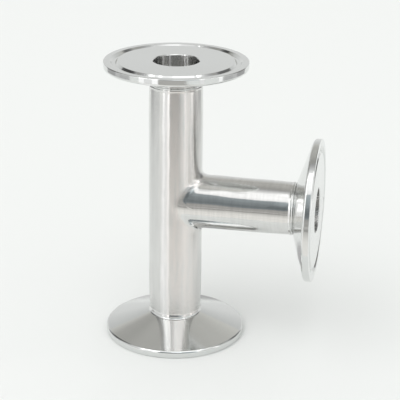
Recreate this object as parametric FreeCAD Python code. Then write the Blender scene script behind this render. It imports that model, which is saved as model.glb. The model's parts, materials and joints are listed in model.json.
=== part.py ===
import FreeCAD, Part
import math
import os

# Sanitary tee: a straight run with a branch at right angles, and a clamp ferrule welded on each of its three ends.
# The origin is the middle of the bottom ferrule's face, +Z runs up the run and +X along the branch. Millimetres.

# Lay-out of the tee, from the run's middle to the faces of the ferrules
run_face_to_face = 102.0
branch_axis_height = run_face_to_face / 2
branch_axis_to_face = 51.0

# Tube of the run and the branch, diameters outside
tube_diameter = 19.0
tube_wall = 1.5
branch_draw_down = 0.1
crotch_round = 2.0
inner_crotch_round = 0.8

# Tube ends, which the welding and dressing leave a little smaller
weld_draw_in = 0.4
drawn_in_length = 14.0

# Weld seam, a low ring of metal between tube and ferrule
seam_width = 1.0
seam_height = 0.3

# Clamp ferrule
flange_diameter = 50.5
flange_edge_thickness = 2.4
flange_taper_angle = 18.5
neck_length = 0.6
neck_fillet = 0.7
rim_face_round = 0.3
rim_back_round = 1.0
bore_edge_round = 0.3

# Gasket groove in the ferrule's face, its middle so far in from the rim: a flat bottom between leaning walls
groove_from_rim = 3.65
groove_width = 2.7
groove_depth = 0.8
groove_wall_angle = 45.0
groove_round = 0.2

# Sizes that follow from these
bore_diameter = tube_diameter - 2 * tube_wall
branch_diameter = tube_diameter - branch_draw_down
branch_bore_diameter = bore_diameter - branch_draw_down
weld_end_diameter = tube_diameter - weld_draw_in
groove_diameter = flange_diameter - 2 * groove_from_rim
groove_bottom_width = groove_width - 2 * groove_depth / math.tan(math.radians(groove_wall_angle))
taper_height = (flange_diameter - weld_end_diameter) / 2 * math.tan(math.radians(flange_taper_angle))
ferrule_length = flange_edge_thickness + taper_height + neck_length

UP = FreeCAD.Vector(0, 0, 1)
ALONG_BRANCH = FreeCAD.Vector(1, 0, 0)
ACROSS = FreeCAD.Vector(0, 1, 0)
ORIGIN = FreeCAD.Vector(0, 0, 0)
MATCH = 1e-3


def point(diameter, height):
    """A point of a turned section, in the XZ plane."""
    return FreeCAD.Vector(diameter / 2, 0, height)


def line(start, end):
    return Part.makeLine(start, end)


def arc(start, middle, end):
    return Part.Arc(start, middle, end).toShape()


def turned(edges):
    """The solid that a closed section sweeps in one turn round the Z axis."""
    section = Part.Face(Part.Wire(Part.__sortEdges__(edges)))
    solid = section.revolve(ORIGIN, UP, 360)
    if solid.Volume < 0:
        solid.reverse()
    return solid


def rings(solid, diameter, height):
    """The circular edges of this diameter round the Z axis at this height."""
    found = []
    for edge in solid.Edges:
        curve = edge.Curve
        if not isinstance(curve, Part.Circle):
            continue
        middle = curve.Center
        on_axis = math.hypot(middle.x, middle.y) < MATCH
        if on_axis and abs(2 * curve.Radius - diameter) < MATCH and abs(middle.z - height) < MATCH:
            found.append(edge)
    return found


def ferrule():
    """A turned clamp ferrule, its face down at height 0 and its weld end up."""
    neck_foot = flange_edge_thickness + taper_height
    groove_inside = groove_diameter - groove_width
    groove_outside = groove_diameter + groove_width
    bottom_inside = groove_diameter - groove_bottom_width
    bottom_outside = groove_diameter + groove_bottom_width
    solid = turned([
        line(point(bore_diameter, ferrule_length), point(bore_diameter, 0)),
        line(point(bore_diameter, 0), point(groove_inside, 0)),
        line(point(groove_inside, 0), point(bottom_inside, groove_depth)),
        line(point(bottom_inside, groove_depth), point(bottom_outside, groove_depth)),
        line(point(bottom_outside, groove_depth), point(groove_outside, 0)),
        line(point(groove_outside, 0), point(flange_diameter, 0)),
        line(point(flange_diameter, 0), point(flange_diameter, flange_edge_thickness)),
        line(point(flange_diameter, flange_edge_thickness), point(weld_end_diameter, neck_foot)),
        line(point(weld_end_diameter, neck_foot), point(weld_end_diameter, ferrule_length)),
        line(point(weld_end_diameter, ferrule_length), point(bore_diameter, ferrule_length)),
    ])
    for size, diameter, height in [
        (bore_edge_round, bore_diameter, 0),
        (groove_round, groove_inside, 0),
        (groove_round, bottom_inside, groove_depth),
        (groove_round, bottom_outside, groove_depth),
        (groove_round, groove_outside, 0),
        (rim_face_round, flange_diameter, 0),
        (rim_back_round, flange_diameter, flange_edge_thickness),
        (neck_fillet, weld_end_diameter, neck_foot),
    ]:
        solid = solid.makeFillet(size, rings(solid, diameter, height))
    return solid


def tube_end(diameter, weld_face, inward):
    """The outside of a tube end: the weld seam, then a shallow arc that meets the tube at its full size."""
    seam_middle = weld_face + inward * seam_width / 2
    seam_end = weld_face + inward * seam_width
    full_size = seam_end + inward * drawn_in_length
    halfway = seam_end + inward * drawn_in_length / 2
    halfway_diameter = diameter - (diameter - weld_end_diameter) / 4
    seam_top = point(weld_end_diameter + 2 * seam_height, seam_middle)
    edges = [
        arc(point(weld_end_diameter, weld_face), seam_top, point(weld_end_diameter, seam_end)),
        arc(point(weld_end_diameter, seam_end), point(halfway_diameter, halfway), point(diameter, full_size)),
    ]
    return edges, full_size


def run_outside():
    """The run without its bore, from weld face to weld face."""
    low = ferrule_length
    high = run_face_to_face - ferrule_length
    low_end, low_full = tube_end(tube_diameter, low, 1)
    high_end, high_full = tube_end(tube_diameter, high, -1)
    sides = low_end + high_end + [line(point(tube_diameter, low_full), point(tube_diameter, high_full))]
    ends = [line(point(0, low), point(weld_end_diameter, low)), line(point(0, high), point(weld_end_diameter, high))]
    return turned(sides + ends + [line(point(0, low), point(0, high))])


def branch_outside():
    """The branch without its bore, from the run's axis to its weld face, standing on the origin along +Z."""
    high = branch_axis_to_face - ferrule_length
    high_end, high_full = tube_end(branch_diameter, high, -1)
    side = high_end + [line(point(branch_diameter, 0), point(branch_diameter, high_full))]
    ends = [line(point(0, 0), point(branch_diameter, 0)), line(point(0, high), point(weld_end_diameter, high))]
    return turned(side + ends + [line(point(0, 0), point(0, high))])


def onto_branch(solid):
    """Turns a piece that stands on the origin along +Z onto the branch's axis."""
    placed = solid.copy()
    placed.rotate(ORIGIN, ACROSS, 90)
    placed.translate(UP * branch_axis_height)
    return placed


def rounded_crotch(solid, size, run_diameter, side_diameter):
    """Rounds the edges in which the cylinder of the run meets the one of the branch."""
    crotch = []
    for edge in solid.Edges:
        spots = edge.discretize(5)
        from_run = [math.hypot(p.x, p.y) - run_diameter / 2 for p in spots]
        from_branch = [math.hypot(p.y, p.z - branch_axis_height) - side_diameter / 2 for p in spots]
        if all(abs(gap) < MATCH for gap in from_run + from_branch):
            crotch.append(edge)
    return solid.makeFillet(size, crotch)


def tee_body():
    """The run and the branch as one hollow piece, its crotch rounded outside and inside."""
    outside = run_outside().fuse(onto_branch(branch_outside())).removeSplitter()
    outside = rounded_crotch(outside, crotch_round, tube_diameter, branch_diameter)
    run_bore = Part.makeCylinder(bore_diameter / 2, run_face_to_face)
    branch_bore = onto_branch(Part.makeCylinder(branch_bore_diameter / 2, branch_axis_to_face))
    hollow = outside.cut(run_bore).cut(branch_bore)
    return rounded_crotch(hollow, inner_crotch_round, bore_diameter, branch_bore_diameter).Solids[0]


def top_ferrule():
    """The ferrule on the run's upper end, face up."""
    placed = ferrule()
    placed.rotate(ORIGIN, ALONG_BRANCH, 180)
    placed.translate(UP * run_face_to_face)
    return placed


def branch_ferrule():
    """The ferrule on the branch, face outwards."""
    placed = ferrule()
    placed.rotate(ORIGIN, ACROSS, -90)
    placed.translate(ALONG_BRANCH * branch_axis_to_face + UP * branch_axis_height)
    return placed


os.makedirs("parts", exist_ok=True)
for name, shape in {
    "tee_body": tee_body(),
    "bottom_ferrule": ferrule(),
    "top_ferrule": top_ferrule(),
    "branch_ferrule": branch_ferrule(),
}.items():
    shape.exportStep("parts/" + name + ".step")
    print(name, len(shape.Solids), "solid, valid:", shape.isValid(), "volume:", round(shape.Volume, 1), "mm3")
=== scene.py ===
import json
import math

import bmesh
import bpy
import numpy as np
from mathutils import Matrix, Vector


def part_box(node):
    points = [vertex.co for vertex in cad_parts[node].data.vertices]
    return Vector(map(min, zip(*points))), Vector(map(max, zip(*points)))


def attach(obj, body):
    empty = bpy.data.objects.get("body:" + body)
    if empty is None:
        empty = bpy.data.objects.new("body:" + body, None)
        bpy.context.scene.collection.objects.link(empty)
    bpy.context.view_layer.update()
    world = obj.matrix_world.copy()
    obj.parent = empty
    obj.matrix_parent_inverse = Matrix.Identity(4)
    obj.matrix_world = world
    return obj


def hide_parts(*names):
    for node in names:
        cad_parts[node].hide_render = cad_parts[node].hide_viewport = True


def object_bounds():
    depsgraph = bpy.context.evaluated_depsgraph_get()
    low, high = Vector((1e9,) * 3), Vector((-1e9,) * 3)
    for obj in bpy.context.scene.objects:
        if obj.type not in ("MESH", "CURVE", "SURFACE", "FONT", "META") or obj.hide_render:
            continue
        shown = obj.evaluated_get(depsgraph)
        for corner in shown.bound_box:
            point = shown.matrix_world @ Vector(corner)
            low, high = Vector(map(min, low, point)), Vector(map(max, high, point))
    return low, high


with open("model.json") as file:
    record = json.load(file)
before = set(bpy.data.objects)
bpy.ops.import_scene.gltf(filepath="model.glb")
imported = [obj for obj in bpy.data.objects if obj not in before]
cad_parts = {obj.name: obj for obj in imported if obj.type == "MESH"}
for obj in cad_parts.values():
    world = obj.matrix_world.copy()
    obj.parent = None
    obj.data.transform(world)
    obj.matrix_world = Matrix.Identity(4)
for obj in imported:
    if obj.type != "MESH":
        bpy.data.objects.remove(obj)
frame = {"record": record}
cad_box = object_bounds()

# Sanitary tee of brushed and polished steel on a pale floor, in a tent with bright and dark cards.
# The part's lengths are millimetres until a mesh is made from them. Camera, floor and studio are in metres.
MM = 0.001

# Lay-out of the tee, from the frame, whose first mount is the bottom bore
RUN_LENGTH = cad_box[1].z / MM
BRANCH_REACH = cad_box[1].x / MM
BRANCH_HEIGHT = RUN_LENGTH / 2
FLANGE_RADIUS = cad_box[1].y / MM
FERRULE_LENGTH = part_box("bottom_ferrule")[1].z / MM
BORE_RADIUS = frame["record"]["mounts"][0]["dims"]["r_mm"]

# Tube, its ends drawn in towards the weld seams
TUBE_RADIUS = 9.5
WELD_DRAW_IN = 0.2
WELD_END_RADIUS = TUBE_RADIUS - WELD_DRAW_IN
DRAWN_IN_LENGTH = 14.0

# The branch is drawn down a little, from the crotch to so far out
BRANCH_DRAW_DOWN = 0.05
BRANCH_DRAWN_AT = 2.5 * TUBE_RADIUS

# Weld seam: a low ring that ends at the ferrule in a rounded step, and the lumps along it
SEAM_WIDTH = 1.0
SEAM_HEIGHT = 0.26
SEAM_EDGE = 0.2
WELD_LUMP = 0.03
WELD_LUMP_SPREAD = 0.7
BRANCH_LUMP_PHASE = 2.0

# Crotch: how far its rounding reaches at the corners and at the sides, and what is added halfway between
CROTCH_REACH = (3.1, 3.4, 0.4)
INNER_CROTCH_REACH = (1.25, 1.13, 0.0)

# Control points of its curve on each leg of the corner, as shares of the reach
CROTCH_LEG = (1.0, 0.6, 0.2)

# Wave that the polishing left along the branch: in below this turn from its side, out above it, each so wide.
# It grows and fades over these distances from the run's axis, swings back by a share, and ends.
FLANK_WAVE = 0.16
FLANK_WAVE_TURN = math.radians(34)
FLANK_WAVE_WIDTH = math.radians(22)
FLANK_WAVE_GROWS = (1, 7)
FLANK_WAVE_FADES = (10, 27)
FLANK_WAVE_ENDS = (27, 33)
FLANK_WAVE_SWING = 0.15

# Low ripples: on the branch they start and end over these distances from the run's axis, and on the run they
# end over these distances above and below the branch's axis
RIPPLE = 0.012
RIPPLE_STARTS = (4, 12)
RIPPLE_ENDS = (36, 40)
RUN_RIPPLE = 0.010
RUN_RIPPLE_ENDS = (34, 40)

# Distances from a tube's axis between which its own waves fade out on the other tube
OFF_TUBE = (TUBE_RADIUS + 0.3, TUBE_RADIUS + 1.5)

# Ferrule section
FLANGE_EDGE = 2.4
FLANGE_TAPER = math.radians(18.5)
NECK_FILLET = 0.7
RIM_FACE_ROUND = 0.3
RIM_BACK_ROUND = 1.0
BEVEL = 0.28
BEVEL_ROUND = 0.08
GROOVE_FROM_RIM = 3.65
GROOVE_WIDTH = 2.7
GROOVE_DEPTH = 0.8
GROOVE_WALL = math.radians(45)
GROOVE_ROUND = 0.2

# Fineness of the meshes
TURNED_SEGMENTS = 288
HALF_TURN_COLUMNS = 120
SEAM_ROWS = 15
DRAWN_IN_ROWS = 29
TUBE_ROWS = 30
BORE_ROWS = 8
CROTCH_ROWS = 21
CROTCH_SIDE_COLUMNS = 15

# Power that packs the seam's rows closer towards the ferrule
SEAM_ROWS_POWER = 1.5

# Points so close to the ends of a long side keep its shading straight
HOLD = 0.03

# Mesh points closer than this, in metres, become one
MERGE_DISTANCE = 1e-7

# Curved lines on the tube: distance from the run's axis, the height at which the line has that distance, and
# how much it bends away below and above. One is the border of the polish, the other a low ridge.
POLISH_BORDER = (2.6, 51.9, (0.06, 0.155))
POLISH_BORDER_SOFTNESS = 0.5
RIDGE_LINE = (4.6, 54.3, (0.35, 0.10))
RIDGE_WIDTH = 0.9
RIDGE_RISE = 0.022
RIDGE_ENDS = (50.9, 51.7)

# Grains: how fine the noise is along each of three places, its detail and its roughness
BRUSH_GRAIN = ((3.0, 5.5, 0.0), 4.0, 0.7)
CLOUD_GRAIN = ((4.0, 0.12, 1.0), 2.0, 0.5)
POLISH_GRAIN = ((0.10, 26.0, 0.0), 3.0, 0.6)
RING_GRAIN = ((4.0, 4.0, 1.5), 3.0, 0.65)
GRAIN_RANGE = (0.25, 0.75)

# Depth of the brush marks and of the lathe's rings, and the share of the first that the polish marks have
BRUSH_DEPTH = 0.003
RING_DEPTH = 0.002
POLISH_RELIEF = 0.6

# Roughness of the smoothest and the dullest grain, that of the bottom seam, and what the polish's top adds
BRUSHED_ROUGHNESS = (0.18, 0.26)
POLISHED_ROUGHNESS = (0.04, 0.06)
LATHE_ROUGHNESS = (0.07, 0.13)
BORE_ROUGHNESS = (0.17, 0.23)
SEAM_ROUGHNESS = 0.08
TOP_DULLNESS = 0.05

# Heights between which the bottom seam's shine ends, and between which the polish gets duller
SEAM_SHINE_ENDS = (9.3, 9.8)
TOP_DULLS = (57.3, 58.3)

# Half the stretch along the branch over which the lathe's rings turn from the run's axis to the branch's
AXIS_BLEND = 0.5

# Anisotropy, and the quarter turn that stretches reflections across the marks
TUBE_ANISOTROPY = 1.0
LATHE_ANISOTROPY = 0.9
BORE_ANISOTROPY = 1.0
ACROSS_MARKS = 0.25

# Direction of the polished marks, about as long as that of the brushed ones so that they mix evenly
POLISH_TANGENT = (10.0, 0.0, 0.0)

# Colours of the tube: dark to light as the marks, with their share of clouds added, run over this range
STEEL_DARK = (0.70, 0.70, 0.69, 1)
STEEL_LIGHT = (0.79, 0.79, 0.778, 1)
CLOUD_SHARE = 0.7
SHADE_RANGE = (0.5, 1.2)

# Painted warm sheen on the run's front, the side towards the camera: it rises and falls over these turns
# round the axis, and is stronger where the clouds are bright
PAINTED_SHEEN_COLOUR = (0.795, 0.765, 0.745, 1)
SHEEN_RISES = (-1.8, -1.45)
SHEEN_FALLS = (-0.1, -0.7)
SHEEN_CLOUDS = (0.3, 0.6, 0.4, 1.0)

# Colours of the turned steel and of the bore
LATHE_COLOURS = ((0.71, 0.72, 0.715, 1), (0.77, 0.78, 0.77, 1))
BORE_COLOURS = ((0.60, 0.60, 0.59, 1), (0.66, 0.66, 0.65, 1))

# Painted highlights: pale, dull lines along the bore, each with its place in radians round the axis, half
# width and how strong. The core is the share of the half width that has the full strength.
BORE_HIGHLIGHT_COLOUR = (0.92, 0.92, 0.90, 1)
BORE_PAINTED_HIGHLIGHTS = ((1.27, 0.045, 1.0), (1.41, 0.04, 0.45), (2.06, 0.06, 0.4), (2.39, 0.06, 0.45))
BORE_HIGHLIGHT_CORE = 0.3

# Painted shade, a darker steel colour on the back of the top flange: where its heights, its radius and its
# half begin and end
PAINTED_SHADE_COLOUR = (0.52, 0.52, 0.51, 1)
PAINTED_SHADE_FROM_HEIGHT = (94.7, 95.3)
PAINTED_SHADE_TO_HEIGHT = (98.6, 99.4)
PAINTED_SHADE_FROM_RADIUS = (8.5, 9.0)
PAINTED_SHADE_FROM_MIDDLE = (-3.0, 3.0)

# Camera, from the outlines in the photograph
CAMERA_PLACE = Vector((0.09416, -0.42784, 0.21760))
CAMERA_HEADING = math.radians(-11.268)
CAMERA_PITCH = math.radians(20.873)
CAMERA_ROLL = math.radians(0.698)
CAMERA_LENS = 117.73
CAMERA_SENSOR = 36.0
CAMERA_NEAR = 0.01

# Floor, a hair below the tee
FLOOR_SIZE = 16.0
FLOOR_DROP = 0.00003
FLOOR_COLOUR = (0.80, 0.81, 0.80, 1)
FLOOR_ROUGHNESS = 0.9

# Light on the floor: the key light, and the strength of the tent's own light
KEY_STRENGTH = 0.93
KEY_SPREAD = math.radians(55)
KEY_TILT = math.radians(32)
KEY_HEADING = math.radians(-25)
TENT_LIGHT = 0.90

# What reflections see of the tent: its colour, and how it darkens between two heights of the line of sight
TENT_COLOUR = (0.99, 1, 0.99, 1)
TENT_DARKENS = (0.2, 0.6)
TENT_GLOWS = (0.81, 0.57)

# Studio cards: a factor on the brightness of them all, the places that several share, and their tints
STUDIO_LEVEL = 0.91
FLOOR_CARD = 0.0002
FRONT_CARD = 0.55
ROOF_CARD = 0.6
UNDER_ROOF = 0.598
CORNER_DISTANCE = 0.35
WHITE = (1.0, 1.0, 1.0)
OPENING_TINT = (0.90, 1.0, 1.04)
TABLE_TINT = (1.015, 1.0, 0.96)
ROOF_TINT = (1.01, 1.0, 0.95)


def arc(centre, radius, start, end, steps=8):
    """Points on an arc of a section, from the start angle to the end angle in radians."""
    turns = [start + (end - start) * i / steps for i in range(steps + 1)]
    return [(centre[0] + radius * math.cos(turn), centre[1] + radius * math.sin(turn)) for turn in turns]


def with_holds(section):
    """Adds a point close to each end of the long sides, so that smooth shading keeps them straight."""
    held = []
    for start, end in zip(section, section[1:] + section[:1]):
        held.append(start)
        length = math.dist(start, end)
        if length > 6 * HOLD:
            for share in (HOLD / length, 1 - HOLD / length):
                held.append((start[0] + (end[0] - start[0]) * share, start[1] + (end[1] - start[1]) * share))
    return held


def groove_section():
    """The gasket groove: a flat bottom between leaning walls, all four edges rounded."""
    reach = GROOVE_ROUND * math.tan(GROOVE_WALL / 2)
    bottom = GROOVE_WIDTH / 2 - GROOVE_DEPTH / math.tan(GROOVE_WALL)
    edges = ((-GROOVE_WIDTH / 2 - reach, GROOVE_ROUND, -math.pi / 2, GROOVE_WALL - math.pi / 2),
             (-bottom + reach, GROOVE_DEPTH - GROOVE_ROUND, GROOVE_WALL + math.pi / 2, math.pi / 2),
             (bottom - reach, GROOVE_DEPTH - GROOVE_ROUND, math.pi / 2, math.pi / 2 - GROOVE_WALL),
             (GROOVE_WIDTH / 2 + reach, GROOVE_ROUND, -math.pi / 2 - GROOVE_WALL, -math.pi / 2))
    middle = FLANGE_RADIUS - GROOVE_FROM_RIM
    return [spot for out, height, start, end in edges
            for spot in arc((middle + out, height), GROOVE_ROUND, start, end, 6)]


def ferrule_section():
    """The ferrule's section as (radius, height) points, its face at height 0."""
    turn = math.pi / 2 - FLANGE_TAPER
    rim_reach = RIM_BACK_ROUND * math.tan(turn / 2)
    neck_reach = NECK_FILLET * math.tan(turn / 2)
    bevel_reach = BEVEL_ROUND * math.tan(math.pi / 8)
    neck_foot = FLANGE_EDGE + (FLANGE_RADIUS - WELD_END_RADIUS) * math.tan(FLANGE_TAPER)
    return with_holds(
        arc((BORE_RADIUS + BEVEL_ROUND, BEVEL + bevel_reach), BEVEL_ROUND, math.pi, 1.25 * math.pi, 4)
        + arc((BORE_RADIUS + BEVEL + bevel_reach, BEVEL_ROUND), BEVEL_ROUND, 1.25 * math.pi, 1.5 * math.pi, 4)
        + groove_section()
        + arc((FLANGE_RADIUS - RIM_FACE_ROUND, RIM_FACE_ROUND), RIM_FACE_ROUND, -math.pi / 2, 0)
        + arc((FLANGE_RADIUS - RIM_BACK_ROUND, FLANGE_EDGE - rim_reach), RIM_BACK_ROUND, 0, turn)
        + arc((WELD_END_RADIUS + NECK_FILLET, neck_foot + neck_reach), NECK_FILLET, math.pi + turn, math.pi)
        + [(WELD_END_RADIUS, FERRULE_LENGTH), (BORE_RADIUS, FERRULE_LENGTH)])


def grid_faces(rows, columns, first=0):
    """Quads of a grid whose points follow each other row by row."""
    faces = []
    for row in range(rows - 1):
        for column in range(columns - 1):
            corner = first + row * columns + column
            faces.append((corner, corner + 1, corner + columns + 1, corner + columns))
    return faces


def piece_from_grids(name, grids, materials):
    """A closed mesh from grids of points that share their borders, each with its material's number."""
    mesh = bpy.data.meshes.new(name)
    points, faces, slots = [], [], []
    for grid, slot in grids:
        new_faces = grid_faces(grid.shape[0], grid.shape[1], len(points))
        points += [tuple(point * MM) for point in grid.reshape(-1, 3)]
        faces += new_faces
        slots += [slot] * len(new_faces)
    mesh.from_pydata(points, [], faces)
    mesh.polygons.foreach_set("material_index", slots)
    mesh.polygons.foreach_set("use_smooth", [True] * len(faces))
    shape = bmesh.new()
    shape.from_mesh(mesh)
    bmesh.ops.remove_doubles(shape, verts=shape.verts, dist=MERGE_DISTANCE)
    bmesh.ops.dissolve_degenerate(shape, edges=shape.edges, dist=MERGE_DISTANCE)
    bmesh.ops.recalc_face_normals(shape, faces=shape.faces)
    shape.to_mesh(mesh)
    shape.free()
    for material in materials:
        mesh.materials.append(material)
    piece = bpy.data.objects.new(name, mesh)
    bpy.context.scene.collection.objects.link(piece)
    return piece


def standing(grid):
    """A ferrule that stays as it stands, its face on the floor."""
    return grid


def on_top(grid):
    """A ferrule turned over onto the upper end of the run."""
    return grid * [1, -1, -1] + [0, 0, RUN_LENGTH]


def on_branch(grid):
    """A ferrule turned onto the branch, its face outwards."""
    return np.stack([BRANCH_REACH - grid[..., 2], grid[..., 1], BRANCH_HEIGHT + grid[..., 0]], axis=-1)


def add_ferrule(name, place, finish, bore_finish):
    """A turned ferrule; place moves its points from the standing ferrule to its seat."""
    section = ferrule_section()
    bore_start = section.index((BORE_RADIUS, FERRULE_LENGTH))
    radii, heights = np.array(section + section[:1]).T
    turns = np.linspace(0, 2 * math.pi, TURNED_SEGMENTS + 1)
    grid = place(np.stack([np.outer(radii, np.cos(turns)),
                           np.outer(radii, np.sin(turns)),
                           np.outer(heights, np.ones_like(turns))], axis=-1))
    parts = [(grid[:bore_start + 1], 0), (grid[bore_start:], 1)]
    piece = piece_from_grids(name, parts, [finish, bore_finish])
    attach(piece, "root")
    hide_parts(name)


def smooth_step(value, low, high):
    """Runs smoothly from 0 to 1 while the value goes from low to high."""
    share = np.clip((value - low) / (high - low), 0, 1)
    return share * share * (3 - 2 * share)


def run_radius(distance):
    """Radius of the run so far from its weld face: the seam, then a shallow arc out to the full tube. The
    seam rises towards the ferrule and ends there in a small rounded step."""
    rise = np.clip((SEAM_WIDTH - distance) / (SEAM_WIDTH - SEAM_EDGE), 0, 1)
    step = np.sqrt(1 - np.clip(1 - distance / SEAM_EDGE, 0, 1) ** 2)
    seam = WELD_END_RADIUS + SEAM_HEIGHT * np.minimum(rise ** 2 * (2 - rise), step)
    to_go = np.clip(1 - (distance - SEAM_WIDTH) / DRAWN_IN_LENGTH, 0, 1)
    tube = TUBE_RADIUS - WELD_DRAW_IN * to_go ** 2
    return np.where(distance < SEAM_WIDTH, seam, tube)


def branch_radius(distance):
    """Radius of the branch so far from its weld face: that of the run, drawn down between crotch and seam."""
    out = BRANCH_REACH - FERRULE_LENGTH - distance
    drawn = BRANCH_DRAW_DOWN * smooth_step(out, TUBE_RADIUS + CROTCH_REACH[0], BRANCH_DRAWN_AT)
    return run_radius(distance) - drawn * smooth_step(distance, SEAM_WIDTH, DRAWN_IN_LENGTH)


def bore_radius(distance):
    return np.full_like(distance, BORE_RADIUS)


def weld_lumps(around, from_weld, phase):
    """Small lumps along a weld seam. Their numbers only make them irregular."""
    lumps = np.sin(7 * around + phase) * np.sin(4 * from_weld)
    lumps += 0.8 * np.sin(12 * around + 2 * phase) + 0.6 * np.sin(19 * around)
    return WELD_LUMP * lumps * np.exp(-((from_weld - SEAM_WIDTH / 2) / WELD_LUMP_SPREAD) ** 2)


def branch_ripple(x, turn):
    """Ripples along the branch and round it. Their numbers only make them irregular."""
    return np.sin(0.62 * x + 1) * np.sin(5 * turn + 0.5) + np.sin(0.31 * x) * np.cos(7 * turn)


def run_ripple(up, around):
    """Ripples along the run and round it. Their numbers only make them irregular."""
    twisted = np.sin(0.21 * up + 2 * np.sin(around)) * np.sin(4 * around + 1)
    return twisted + np.sin(0.47 * up) * np.cos(9 * around)


def branch_waves(x, y, up):
    """How far the branch's waves and its seam's lumps move the skin away from the branch's axis."""
    turn = np.arctan2(up, np.abs(y))
    flank = (turn - FLANK_WAVE_TURN) / FLANK_WAVE_WIDTH
    strength = smooth_step(x, *FLANK_WAVE_GROWS) - (1 + FLANK_WAVE_SWING) * smooth_step(x, *FLANK_WAVE_FADES)
    strength += FLANK_WAVE_SWING * smooth_step(x, *FLANK_WAVE_ENDS)
    rise = FLANK_WAVE * flank * np.exp(0.5 - flank ** 2 / 2) * strength
    rippled = smooth_step(x, *RIPPLE_STARTS) * (1 - smooth_step(x, *RIPPLE_ENDS))
    rise += RIPPLE * branch_ripple(x, turn) * rippled
    rise *= 1 - smooth_step(np.hypot(y, up), *OFF_TUBE)
    return rise + weld_lumps(turn, BRANCH_REACH - FERRULE_LENGTH - x, BRANCH_LUMP_PHASE)


def run_waves(x, y, up):
    """How far the run's waves and its seams' lumps move the skin away from the run's axis."""
    around = np.arctan2(y, x)
    rise = RUN_RIPPLE * run_ripple(up, around) * (1 - smooth_step(np.abs(up), *RUN_RIPPLE_ENDS))
    rise += weld_lumps(around, BRANCH_HEIGHT - FERRULE_LENGTH - np.abs(up), np.sign(up))
    return rise * (1 - smooth_step(np.hypot(x, y), *OFF_TUBE))


def with_waves(grid):
    """Moves the outer skin by the low waves that polishing by hand left, and by the lumps of the seams."""
    x, y, up = grid[..., 0], grid[..., 1], grid[..., 2] - BRANCH_HEIGHT
    off_branch = branch_waves(x, y, up) / np.hypot(y, up)
    off_run = run_waves(x, y, up) / np.hypot(x, y)
    return grid + np.stack([off_run * x, (off_branch + off_run) * y, off_branch * up], axis=-1)


def crotch_blend():
    """A curve from one leg of a right angle to the other, without a jump in its curvature, as shares of its
    reach. Half of its control points lie on each leg, so each leg's shares are the other's in reverse."""
    parts = np.linspace(0, 1, CROTCH_ROWS)
    degree = 2 * len(CROTCH_LEG) - 1
    up = sum(spot * math.comb(degree, i) * (1 - parts) ** (degree - i) * parts ** i
             for i, spot in enumerate(CROTCH_LEG))
    return np.stack([up, up[::-1]], axis=-1)


class TeeSkin:
    """The outer or inner skin of the tee. Its front lines run down the run, round the crotch and out along
    the branch, and its back lines down the run. Heights are counted from the branch's axis. The lines make
    the half above it, which is mirrored for the half below."""

    def __init__(self, radius, run_size, branch_size, crotch_reach, end_rows, tube_rows):
        self.radius = radius
        self.run_size = run_size
        self.branch_size = branch_size
        self.corner_reach, self.side_reach, self.more_reach = crotch_reach
        self.end_rows = end_rows
        self.rest = np.linspace(0, 1, tube_rows)[1:]
        self.blend = crotch_blend()

    def reach(self, turn):
        """How far the crotch's rounding reaches up the run and out along the branch on this front line."""
        reach = self.corner_reach + (self.side_reach - self.corner_reach) * math.sin(turn) ** 2
        return reach + self.more_reach * math.sin(2 * turn) ** 2

    def from_weld(self, length):
        """Distances from a weld face over so much length: close rows at the end, then even ones."""
        last = self.end_rows[-1]
        return np.concatenate([self.end_rows, last + self.rest * (length - last)])

    def down_run(self, around, foot):
        """Points from the run's weld face down to the foot's height."""
        top = BRANCH_HEIGHT - FERRULE_LENGTH
        distance = self.from_weld(top - foot)
        return [size * around + [0, 0, top - down] for size, down in zip(self.run_size(distance), distance)]

    def out_on_branch(self, over, foot):
        """Points from the first row past the foot out to the branch's weld face."""
        far = BRANCH_REACH - FERRULE_LENGTH
        distance = self.from_weld(far - foot)[-2::-1]
        return [size * over + [far - back, 0, 0] for size, back in zip(self.branch_size(distance), distance)]

    def front_line(self, turn):
        """A line on the run's front, at this turn round its axis."""
        across, toward = math.sin(turn), math.cos(turn)
        corner = self.radius * np.array([toward, across, toward])
        reach = self.reach(turn)
        foot = self.radius * toward + reach
        rounding = [corner + [reach * out, 0, reach * up] for up, out in self.blend[1:]]
        return (self.down_run(np.array([toward, across, 0]), foot) + rounding
                + self.out_on_branch(np.array([0, across, toward]), foot))

    def back_line(self, turn):
        """A line on the run's back, with the same rows as the front lines have."""
        around = np.array([math.cos(turn), math.sin(turn), 0])
        beside_crotch = [self.radius * around + [0, 0, self.side_reach * up] for up in self.blend[1:, 0]]
        return self.down_run(around, self.side_reach) + beside_crotch

    def side_patch(self, side):
        """The patch on one side between the back and the front's rounding."""
        parts = np.linspace(0, 1, CROTCH_SIDE_COLUMNS)
        return np.array([[[self.side_reach * out * part, side * self.radius, self.side_reach * up]
                          for part in parts] for up, out in self.blend])

    def grids(self):
        """The grids of front, back and both patches, each followed by its mirrored half."""
        quarter = math.pi / 2
        front = [self.front_line(turn) for turn in np.linspace(-quarter, quarter, HALF_TURN_COLUMNS + 1)]
        back = [self.back_line(turn) for turn in np.linspace(quarter, 3 * quarter, HALF_TURN_COLUMNS + 1)]
        upper = [np.array(lines).transpose(1, 0, 2) for lines in (front, back)]
        upper += [self.side_patch(side) for side in (-1, 1)]
        return [grid * [1, 1, half] + [0, 0, BRANCH_HEIGHT] for grid in upper for half in (1, -1)]


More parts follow.
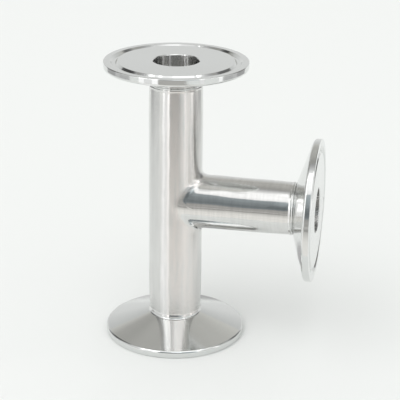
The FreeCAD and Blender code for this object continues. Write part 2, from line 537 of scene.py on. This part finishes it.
def add_tee_body(skin_finish, bore_finish):
    """Run and branch as one hollow piece: outer skin, bores and the rings between them at the three ends."""
    seam_rows = SEAM_WIDTH * np.linspace(0, 1, SEAM_ROWS) ** SEAM_ROWS_POWER
    drawn_rows = np.linspace(SEAM_WIDTH, SEAM_WIDTH + DRAWN_IN_LENGTH, DRAWN_IN_ROWS)[1:]
    outer_rows = np.concatenate([seam_rows, drawn_rows])
    inner_rows = np.array([0.0])
    skin = TeeSkin(TUBE_RADIUS, run_radius, branch_radius, CROTCH_REACH, outer_rows, TUBE_ROWS)
    bore = TeeSkin(BORE_RADIUS, bore_radius, bore_radius, INNER_CROTCH_REACH, inner_rows, BORE_ROWS)
    outer = [with_waves(grid) for grid in skin.grids()]
    inner = bore.grids()
    run_ends = [np.array([out_grid[0], in_grid[0]]) for out_grid, in_grid in zip(outer[:4], inner[:4])]
    branch_end = [np.array([out_grid[-1], in_grid[-1]]) for out_grid, in_grid in zip(outer[:2], inner[:2])]
    grids = [(grid, 0) for grid in outer] + [(grid, 1) for grid in inner + run_ends + branch_end]
    piece = piece_from_grids("tee_body", grids, [skin_finish, bore_finish])
    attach(piece, "root")
    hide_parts("tee_body")


class Shading:
    """Short hands for the nodes of one material."""

    def __init__(self, name):
        self.material = bpy.data.materials.new(name)
        self.material.use_nodes = True
        self.nodes, self.links = self.material.node_tree.nodes, self.material.node_tree.links
        self.shader = self.nodes.get("Principled BSDF")

    def connect(self, source, socket):
        """Puts a value on a socket, or links a node's output to it."""
        if isinstance(source, (int, float, tuple)):
            socket.default_value = source
        else:
            self.links.new(source, socket)

    def math(self, operation, *values):
        node = self.nodes.new("ShaderNodeMath")
        node.operation = operation
        for value, socket in zip(values, node.inputs):
            self.connect(value, socket)
        return node.outputs[0]

    def product(self, first, *others):
        for other in others:
            first = self.math("MULTIPLY", first, other)
        return first

    def vector(self, x, y, z):
        node = self.nodes.new("ShaderNodeCombineXYZ")
        for value, socket in zip((x, y, z), node.inputs):
            self.connect(value, socket)
        return node.outputs[0]

    def place(self):
        """The three parts of the place on the object, in millimetres."""
        coordinates = self.nodes.new("ShaderNodeTexCoord")
        scaled = self.nodes.new("ShaderNodeVectorMath")
        scaled.operation = "SCALE"
        scaled.inputs["Scale"].default_value = 1 / MM
        self.links.new(coordinates.outputs["Object"], scaled.inputs[0])
        parts = self.nodes.new("ShaderNodeSeparateXYZ")
        self.links.new(scaled.outputs[0], parts.inputs[0])
        return parts.outputs["X"], parts.outputs["Y"], parts.outputs["Z"]

    def grain(self, places, scales, detail, roughness):
        """Noise over three places, each scaled by its own number."""
        node = self.nodes.new("ShaderNodeTexNoise")
        scaled = [self.math("MULTIPLY", place, scale) for place, scale in zip(places, scales)]
        self.links.new(self.vector(*scaled), node.inputs["Vector"])
        node.inputs["Scale"].default_value = 1
        node.inputs["Detail"].default_value = detail
        node.inputs["Roughness"].default_value = roughness
        return node.outputs["Fac"]

    def ramp(self, value, low, high, start=0.0, end=1.0):
        """Runs smoothly from start to end while the value goes from low to high."""
        node = self.nodes.new("ShaderNodeMapRange")
        node.interpolation_type = "SMOOTHSTEP"
        for setting, socket in zip((value, low, high, start, end), node.inputs):
            self.connect(setting, socket)
        return node.outputs[0]

    def mix(self, kind, first_socket, result, values):
        """A mixer of one kind, with the sockets that this kind has. Values are share, first and second."""
        node = self.nodes.new("ShaderNodeMix")
        node.data_type = kind
        for value, socket in zip(values, (0, first_socket, first_socket + 1)):
            self.connect(value, node.inputs[socket])
        return node.outputs[result]

    def mix_numbers(self, share, first, second):
        return self.mix("FLOAT", 2, 0, (share, first, second))

    def mix_vectors(self, share, first, second):
        return self.mix("VECTOR", 4, 1, (share, first, second))

    def mix_colours(self, share, first, second):
        return self.mix("RGBA", 6, 2, (share, first, second))

    def bump(self, height, distance):
        """Relief; the height runs from 0 to 1 and the distance is its full height in millimetres."""
        node = self.nodes.new("ShaderNodeBump")
        node.inputs["Distance"].default_value = distance * MM
        node.inputs["Strength"].default_value = 1
        self.links.new(height, node.inputs["Height"])
        self.links.new(node.outputs[0], self.shader.inputs["Normal"])

    def metal(self, anisotropy):
        """Bare metal whose reflections stretch across its marks."""
        self.shader.inputs["Metallic"].default_value = 1
        self.shader.inputs["Anisotropic"].default_value = anisotropy
        self.shader.inputs["Anisotropic Rotation"].default_value = ACROSS_MARKS

    def finish(self, roughness, tangent, colour):
        """What differs from place to place; the tangent runs along the marks."""
        for source, name in ((roughness, "Roughness"), (tangent, "Tangent"), (colour, "Base Color")):
            self.connect(source, self.shader.inputs[name])


def past_line(steel, x, z, out, height, bends):
    """How far a place lies outside a curved line. The line is so far from the run's axis at its own height,
    and bends away from the axis below and above it."""
    above = steel.math("SUBTRACT", z, height)
    bend = steel.ramp(above, -1, 1, *bends)
    return steel.math("SUBTRACT", x, steel.math("ADD", steel.product(above, above, bend), out))


def tube_colour(steel, turn, marks, clouds, brushed):
    """Lighter and darker with the marks and the clouds, with a painted warm sheen on the front of the run."""
    shade = steel.ramp(steel.math("ADD", marks, steel.product(clouds, CLOUD_SHARE)), *SHADE_RANGE)
    neutral = steel.mix_colours(shade, STEEL_DARK, STEEL_LIGHT)
    # Painted warm sheen on the side of the run towards the camera.
    painted_sheen = steel.product(steel.ramp(turn, *SHEEN_RISES), steel.ramp(turn, *SHEEN_FALLS), brushed)
    return steel.mix_colours(steel.product(painted_sheen, steel.ramp(clouds, *SHEEN_CLOUDS)), neutral, PAINTED_SHEEN_COLOUR)


def tube_ridge(steel, x, z):
    """The low ridge near the border of the polish, in units of the brushed relief."""
    off_ridge = steel.math("ABSOLUTE", past_line(steel, x, z, *RIDGE_LINE))
    near = steel.ramp(off_ridge, 0.0, RIDGE_WIDTH, 1.0, 0.0)
    return steel.product(near, steel.ramp(z, *RIDGE_ENDS), RIDGE_RISE / BRUSH_DEPTH)


def tube_finish():
    """Finely brushed round the run, and polished along the branch up to a curved border near the run."""
    steel = Shading("tube_steel")
    steel.metal(TUBE_ANISOTROPY)
    x, y, z = steel.place()
    turn = steel.math("ARCTAN2", y, x)
    branch_turn = steel.math("ARCTAN2", steel.math("SUBTRACT", z, BRANCH_HEIGHT), y)
    past_border = past_line(steel, x, z, *POLISH_BORDER)
    polished = steel.ramp(past_border, -POLISH_BORDER_SOFTNESS, POLISH_BORDER_SOFTNESS)
    brushed = steel.math("SUBTRACT", 1.0, polished)
    brush = steel.grain((turn, z, x), *BRUSH_GRAIN)
    clouds = steel.grain((turn, z, x), *CLOUD_GRAIN)
    polish = steel.grain((x, branch_turn, z), *POLISH_GRAIN)
    rough = steel.ramp(brush, *GRAIN_RANGE, *BRUSHED_ROUGHNESS)
    rough = steel.mix_numbers(steel.ramp(z, *SEAM_SHINE_ENDS), SEAM_ROUGHNESS, rough)
    fine = steel.ramp(polish, *GRAIN_RANGE, *POLISHED_ROUGHNESS)
    fine = steel.math("ADD", fine, steel.ramp(z, *TOP_DULLS, 0.0, TOP_DULLNESS))
    round_run = steel.vector(steel.product(y, -1.0), x, 0.0)
    brush_marks = steel.product(brush, brushed)
    marks = steel.math("ADD", brush_marks, steel.product(polish, polished))
    steel.finish(steel.mix_numbers(polished, rough, fine),
                 steel.mix_vectors(polished, round_run, POLISH_TANGENT),
                 tube_colour(steel, turn, marks, clouds, brushed))
    relief = steel.math("ADD", brush_marks, steel.product(polish, POLISH_RELIEF, polished))
    steel.bump(steel.math("ADD", relief, tube_ridge(steel, x, z)), BRUSH_DEPTH)
    return steel.material


def painted_shade_back(steel, y, z, radius):
    """Share of the painted shade, a darker steel colour, on the back of the top flange."""
    heights = steel.product(steel.ramp(z, *PAINTED_SHADE_FROM_HEIGHT), steel.ramp(z, *PAINTED_SHADE_TO_HEIGHT, 1.0, 0.0))
    return steel.product(heights, steel.ramp(radius, *PAINTED_SHADE_FROM_RADIUS), steel.ramp(y, *PAINTED_SHADE_FROM_MIDDLE))


def turned_finish(name, roughness, colours, anisotropy=LATHE_ANISOTROPY, axis_turns=None, lines=()):
    """Steel off the lathe: fine rings round the piece's own axis. That is the run's, or the branch's from
    axis_turns millimetres out. Pale, dull lines of painted highlight lie along it, each with its turn, half
    width and strength."""
    steel = Shading(name)
    steel.metal(anisotropy)
    x, y, z = steel.place()
    up = steel.math("SUBTRACT", z, BRANCH_HEIGHT)
    on_branch_axis = 0.0
    if axis_turns is not None:
        on_branch_axis = steel.ramp(x, axis_turns - AXIS_BLEND, axis_turns + AXIS_BLEND)
    across = steel.mix_numbers(on_branch_axis, x, up)
    along = steel.mix_numbers(on_branch_axis, z, x)
    radius = steel.math("SQRT", steel.math("ADD", steel.product(across, across), steel.product(y, y)))
    turn = steel.math("ARCTAN2", y, across)
    rings = steel.grain((radius, along, turn), *RING_GRAIN)
    rough = steel.ramp(rings, *GRAIN_RANGE, *roughness)
    colour = steel.mix_colours(rings, *colours)
    # Painted highlights: each line makes the colour paler and the steel rougher.
    for place, half_width, strength in lines:
        away = steel.math("ABSOLUTE", steel.math("SUBTRACT", turn, place))
        near = steel.ramp(away, BORE_HIGHLIGHT_CORE * half_width, half_width, strength, 0.0)
        rough = steel.math("ADD", rough, near)
        colour = steel.mix_colours(near, colour, BORE_HIGHLIGHT_COLOUR)
    round_run = steel.vector(steel.product(y, -1.0), x, 0.0)
    round_branch = steel.vector(0.0, steel.product(up, -1.0), y)
    # The colour takes painted shade, a darker steel, on the back of the top flange.
    steel.finish(rough,
                 steel.mix_vectors(on_branch_axis, round_run, round_branch),
                 steel.mix_colours(painted_shade_back(steel, y, z, radius), colour, PAINTED_SHADE_COLOUR))
    steel.bump(rings, RING_DEPTH)
    return steel.material


def add_tee():
    """The tee's four pieces and their finishes."""
    ferrule_finish = turned_finish("turned_ferrule", LATHE_ROUGHNESS, LATHE_COLOURS)
    branch_finish = turned_finish("turned_branch_ferrule", LATHE_ROUGHNESS, LATHE_COLOURS,
                                  axis_turns=BORE_RADIUS)
    bore_finish = turned_finish("bore", BORE_ROUGHNESS, BORE_COLOURS, BORE_ANISOTROPY,
                                axis_turns=BORE_RADIUS, lines=BORE_PAINTED_HIGHLIGHTS)
    add_tee_body(tube_finish(), bore_finish)
    add_ferrule("bottom_ferrule", standing, ferrule_finish, bore_finish)
    add_ferrule("top_ferrule", on_top, ferrule_finish, bore_finish)
    add_ferrule("branch_ferrule", on_branch, branch_finish, bore_finish)


def add_camera():
    """The photograph's camera: its heading turns from +Y towards +X, its pitch is downwards."""
    forward = Vector((math.sin(CAMERA_HEADING) * math.cos(CAMERA_PITCH),
                      math.cos(CAMERA_HEADING) * math.cos(CAMERA_PITCH),
                      -math.sin(CAMERA_PITCH)))
    level_right = Vector((math.cos(CAMERA_HEADING), -math.sin(CAMERA_HEADING), 0))
    level_up = level_right.cross(forward)
    right = level_right * math.cos(CAMERA_ROLL) + level_up * math.sin(CAMERA_ROLL)
    up = level_up * math.cos(CAMERA_ROLL) - level_right * math.sin(CAMERA_ROLL)
    turn = Matrix((right, up, -forward)).transposed().to_4x4()
    camera = bpy.data.objects.new("camera", bpy.data.cameras.new("camera"))
    camera.data.lens = CAMERA_LENS
    camera.data.sensor_width = CAMERA_SENSOR
    camera.data.clip_start = CAMERA_NEAR
    camera.matrix_world = Matrix.Translation(CAMERA_PLACE) @ turn
    bpy.context.scene.collection.objects.link(camera)
    bpy.context.scene.camera = camera


def add_floor():
    """A plain pale floor under the tee."""
    half = FLOOR_SIZE / 2
    corners = ((-half, -half), (half, -half), (half, half), (-half, half))
    mesh = bpy.data.meshes.new("floor")
    mesh.from_pydata([(x, y, -FLOOR_DROP) for x, y in corners], [], [(0, 1, 2, 3)])
    finish = Shading("floor")
    finish.connect(FLOOR_COLOUR, finish.shader.inputs["Base Color"])
    finish.connect(FLOOR_ROUGHNESS, finish.shader.inputs["Roughness"])
    mesh.materials.append(finish.material)
    floor = bpy.data.objects.new("floor", mesh)
    bpy.context.scene.collection.objects.link(floor)


def glow_finish(name):
    """A light of the colour that its mesh has at each point."""
    shading = Shading(name)
    shading.nodes.remove(shading.shader)
    glow = shading.nodes.new("ShaderNodeAttribute")
    glow.attribute_name = "glow"
    emission = shading.nodes.new("ShaderNodeEmission")
    shading.connect(glow.outputs["Color"], emission.inputs["Color"])
    shading.connect(emission.outputs[0], shading.nodes["Material Output"].inputs["Surface"])
    return shading.material


def add_card(name, rows, tint=WHITE):
    """A studio card that only reflections see. Each row has the places of its ends and their brightness. A
    place is (across, towards, up), seen from the camera: across to the right, towards the camera."""
    heading = math.atan2(CAMERA_PLACE.x, -CAMERA_PLACE.y)
    across = Vector((math.cos(heading), math.sin(heading), 0))
    towards = Vector((math.sin(heading), -math.cos(heading), 0))
    places, glows = [], []
    for row in rows:
        for (right, near, up), glow in row:
            places.append(across * right + towards * near + Vector((0, 0, up)))
            glows += [*(glow * part * STUDIO_LEVEL for part in tint), 1]
    mesh = bpy.data.meshes.new(name)
    mesh.from_pydata(places, [], grid_faces(len(rows), len(rows[0])))
    mesh.color_attributes.new("glow", "FLOAT_COLOR", "POINT").data.foreach_set("color", glows)
    mesh.materials.append(glow_finish(name))
    card = bpy.data.objects.new(name, mesh)
    bpy.context.scene.collection.objects.link(card)
    card.visible_camera = False
    card.visible_shadow = False
    card.visible_diffuse = False


def upright(towards, left, right, heights):
    """Rows of an upright card. Heights are (up, brightness at the left end, brightness at the right end)."""
    return [[((left, towards, up), first), ((right, towards, up), last)] for up, first, last in heights]


def level(up, left, right, depths):
    """Rows of a level card. Depths are (towards, brightness at the left end, brightness at the right end)."""
    return [[((left, towards, up), first), ((right, towards, up), last)] for towards, first, last in depths]


def fan(heading, spread, spots):
    """Rows of a card that spreads so many degrees to either side of a heading, which is counted from the
    camera's. Spots are (distance, up, brightness)."""
    ends = [math.radians(heading + side * spread) for side in (-1, 1)]
    return [[((away * math.sin(end), away * math.cos(end), up), glow) for end in ends]
            for away, up, glow in spots]


def add_strip(name, heading, spread, distance, heights):
    """A narrow upright light. Heights are (up, brightness)."""
    add_card(name, fan(heading, spread, [(distance, up, glow) for up, glow in heights]))


def add_foot(name, heading, spread, depths):
    """A patch of floor that glows, brighter or darker than the floor round it. Depths are (distance,
    brightness).
    """
    add_card(name, fan(heading, spread, [(away, FLOOR_CARD, glow) for away, glow in depths]))


def add_front():
    """The opening in front, darker and cooler than the tent, and the table before it."""
    add_card("front_sill", upright(FRONT_CARD, -0.28, 0.12, [
        (0.0, 0.45, 0.45), (0.05, 0.50, 0.50), (0.11, 0.42, 0.42)]), TABLE_TINT)
    add_card("front_opening", upright(FRONT_CARD, -0.28, -0.15, [
        (0.11, 0.36, 0.36), (0.14, 0.27, 0.27), (0.20, 0.25, 0.25), (0.25, 0.29, 0.29),
        (0.35, 0.33, 0.33), (0.42, 0.38, 0.38), (0.50, 0.43, 0.43), (0.60, 0.50, 0.50)]), OPENING_TINT)
    add_card("front_opening_middle", upright(FRONT_CARD, -0.15, 0.12, [
        (0.11, 0.36, 0.36), (0.14, 0.25, 0.25), (0.20, 0.20, 0.20), (0.28, 0.25, 0.30),
        (0.35, 0.33, 1.1), (0.42, 0.40, 1.4), (0.50, 0.46, 1.4), (0.60, 0.55, 1.4)]), OPENING_TINT)
    add_card("front_opening_side", upright(FRONT_CARD, 0.12, 0.45, [
        (0.0, 0.45, 0.9), (0.10, 0.45, 0.9), (0.14, 0.30, 0.6), (0.60, 0.45, 0.9)]), OPENING_TINT)
    add_card("front_table", level(FLOOR_CARD, -0.26, 0.10, [
        (0.55, 0.60, 0.60), (0.34, 0.60, 0.60), (0.31, 0.44, 0.48), (0.25, 0.36, 0.42), (0.225, 0.62, 0.64),
        (0.16, 0.80, 0.80), (0.11, 1.0, 1.0), (0.06, 1.05, 1.05)]), TABLE_TINT)


def add_roof():
    """A bright panel over the front, brightest in the middle, and a grey roof that is lighter at the back."""
    add_card("bright_middle", level(UNDER_ROOF, -0.04, 0.20, [(0.50, 1.8, 1.9), (0.10, 1.8, 1.9)]))
    add_card("bright_panel", level(ROOF_CARD, -0.45, 0.45, [
        (0.54, 1.25, 1.25), (0.46, 1.25, 1.25), (0.40, 1.4, 1.4), (0.14, 1.4, 1.4), (0.07, 1.0, 1.0),
        (0.03, 0.75, 0.75), (-0.02, 0.55, 0.55), (-0.07, 0.43, 0.43)]))
    add_card("grey_roof", level(ROOF_CARD, -0.6, 0.6, [
        (-0.07, 0.40, 0.46), (-0.12, 0.37, 0.47), (-0.2, 0.45, 0.55), (-0.3, 0.47, 0.62), (-0.5, 0.40, 0.68),
        (-0.7, 0.46, 0.72), (-0.83, 0.60, 0.75), (-0.96, 0.74, 0.76)]), ROOF_TINT)


def add_corners():
    """Darker corners on both sides, with a dim floor and a bright upper panel."""
    for name, side, dark in (("left_corner", -1, 0.08), ("right_corner", 1, 0.18)):
        add_strip(name, side * 119, 13, CORNER_DISTANCE, [
            (0.0, 0.5), (0.05, 0.35), (0.12, 0.25), (0.20, dark), (0.40, dark), (0.46, 0.35)])
        add_strip(name + "_edge", side * 101, 5, CORNER_DISTANCE, [
            (0.0, 0.7), (0.12, 0.6), (0.20, 0.40), (0.40, 0.40), (0.46, 0.5)])
        add_card(name + "_floor", level(FLOOR_CARD, side * 0.27, side * 0.9, [
            (-0.25, 0.60, 0.60), (0.10, 0.60, 0.60)]))
        add_card(name + "_panel", [[((side * 0.46, towards, up), glow) for towards in (0.02, 0.50)]
                                   for up, glow in ((0.36, 0.9), (0.42, 1.4), (0.60, 1.4))])


def add_side_lights():
    """Narrow lights to the left and to the right of the camera."""
    add_strip("left_far_light", -75, 3.0, 0.22, [
        (0.06, 0.7), (0.16, 0.8), (0.24, 1.5), (0.34, 4.0), (0.60, 4.0)])
    add_strip("left_light", -52, 4.5, 0.20, [(0.0, 1.1), (0.06, 1.4), (0.12, 2.8), (0.60, 2.8)])
    add_strip("left_middle_light", -41, 5.5, 0.21, [(0.0, 0.95), (0.06, 1.05), (0.12, 1.4), (0.60, 1.4)])
    add_strip("left_second_light", -31, 4.5, 0.20, [
        (0.0, 1.35), (0.06, 1.4), (0.12, 2.6), (0.24, 2.6), (0.34, 1.0), (0.60, 1.0)])
    add_strip("right_light", 38, 3.5, 0.22, [(0.0, 0.95), (0.06, 1.1), (0.12, 1.9), (0.60, 1.9)])
    add_strip("right_far_light", 70, 3.5, 0.24, [
        (0.0, 1.2), (0.04, 1.3), (0.08, 1.7), (0.24, 2.0), (0.34, 4.0), (0.60, 4.0)])


def add_floor_patches():
    """Patches of floor round the foot of the run, which its lower end reflects: a brighter one at the left
    front, and painted floor shade behind it on both sides.
    """
    add_foot("left_foot", -46, 18, [(0.04, 1.2), (0.06, 1.27), (0.12, 1.27), (0.19, 1.15)])
    # Painted floor shade behind the foot, darker than the floor, which only reflections see.
    add_foot("left_back_foot", -160, 16, [(0.026, 0.70), (0.06, 0.74)])
    add_foot("right_back_foot", 160, 16, [(0.026, 0.42), (0.075, 0.55)])


def add_key_light():
    """One big soft light from the left and the front, which reflections don't see."""
    light = bpy.data.lights.new("key", "SUN")
    light.energy = KEY_STRENGTH
    light.angle = KEY_SPREAD
    key = bpy.data.objects.new("key", light)
    key.visible_glossy = False
    key.rotation_euler = (Matrix.Rotation(KEY_HEADING, 3, "Z") @ Matrix.Rotation(KEY_TILT, 3, "X")).to_euler()
    bpy.context.scene.collection.objects.link(key)


def add_tent():
    """The pale tent all round. Reflections see it darker higher up, and its light has its own strength."""
    world = bpy.data.worlds.new("tent")
    world.use_nodes = True
    nodes, links = world.node_tree.nodes, world.node_tree.links
    direction = nodes.new("ShaderNodeTexCoord")
    parts = nodes.new("ShaderNodeSeparateXYZ")
    links.new(direction.outputs["Generated"], parts.inputs[0])
    higher = nodes.new("ShaderNodeMapRange")
    links.new(parts.outputs["Z"], higher.inputs["Value"])
    for setting, value in zip(("From Min", "From Max", "To Min", "To Max"), TENT_DARKENS + TENT_GLOWS):
        higher.inputs[setting].default_value = value
    path = nodes.new("ShaderNodeLightPath")
    strength = nodes.new("ShaderNodeMix")
    links.new(path.outputs["Is Diffuse Ray"], strength.inputs["Factor"])
    links.new(higher.outputs["Result"], strength.inputs[2])
    strength.inputs[3].default_value = TENT_LIGHT
    links.new(strength.outputs[0], nodes["Background"].inputs["Strength"])
    nodes["Background"].inputs["Color"].default_value = TENT_COLOUR
    bpy.context.scene.world = world


add_tee()
add_camera()
add_floor()
add_front()
add_roof()
add_corners()
add_side_lights()
add_floor_patches()
add_key_light()
add_tent()

bpy.context.scene.view_settings.view_transform = "Standard"
